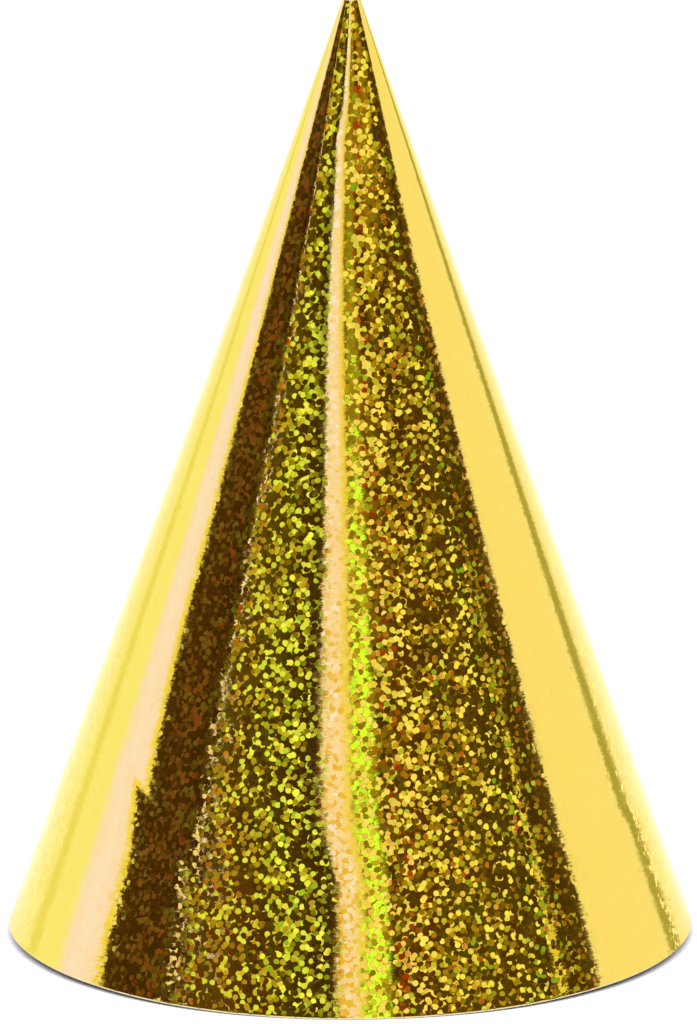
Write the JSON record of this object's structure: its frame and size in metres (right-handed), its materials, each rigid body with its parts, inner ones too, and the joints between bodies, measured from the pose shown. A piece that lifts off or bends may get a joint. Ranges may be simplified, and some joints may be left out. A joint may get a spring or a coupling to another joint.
{
  "type": "cone party hat",
  "caption": "Tall open cone party hat: a rolled paperboard blank faced with patterned foil, with a glued lap up the back and punched holes for a chin cord.",
  "frame": {"origin": "centre of the rim, in the plane of the rim's edge", "axes": "+Z along the hat's axis from the rim to the tip, -Y towards the front, +Y towards the seam at the back, +X to the right seen from the front"},
  "size_m": [0.1164, 0.1167, 0.16],
  "materials": {
    "white_paperboard": "matte, uncoated",
    "gold_film": "metallised mirror gloss with glittering dots",
    "seam_glue": "dried, slightly yellow"
  },
  "bodies": {
    "root": {"paperboard_cone": "white_paperboard", "holographic_film": "gold_film", "seam_glue_strip": "seam_glue"}
  },
  "joints": []
}
